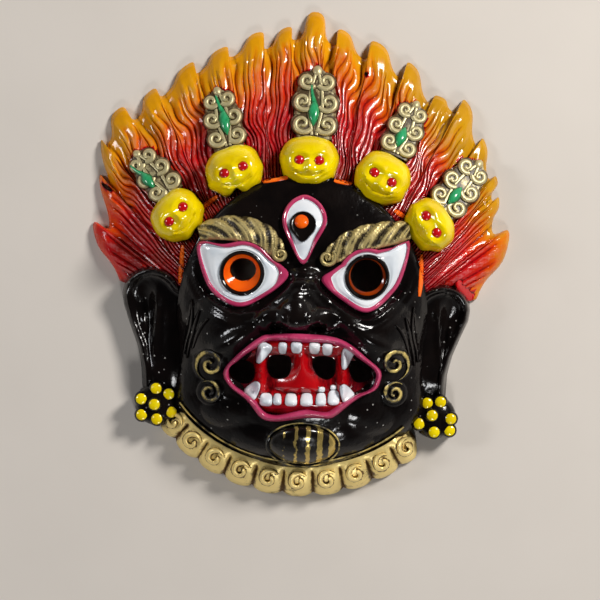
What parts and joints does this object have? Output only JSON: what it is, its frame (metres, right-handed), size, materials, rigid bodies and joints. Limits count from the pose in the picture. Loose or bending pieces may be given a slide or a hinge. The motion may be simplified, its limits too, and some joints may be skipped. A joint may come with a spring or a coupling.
{
  "type": "wall mask",
  "caption": "Hollow cast-metal wall mask of a fierce three-eyed guardian with a flame crown, skull diadem, bared fangs, long ears and scrolled beard, lying on its back rim.",
  "frame": {"origin": "on the floor under the middle of the outline, in the plane of the flat back rim", "axes": "+X to the right and +Y towards the crown as one faces the mask, +Z out of the face"},
  "size_m": [0.256, 0.2986, 0.059],
  "materials": {
    "painted_casting": "glossy black enamel, hand painted in red, orange, yellow, white, pink, green and gold"
  },
  "bodies": {
    "root": {"mask": "painted_casting"}
  },
  "joints": []
}
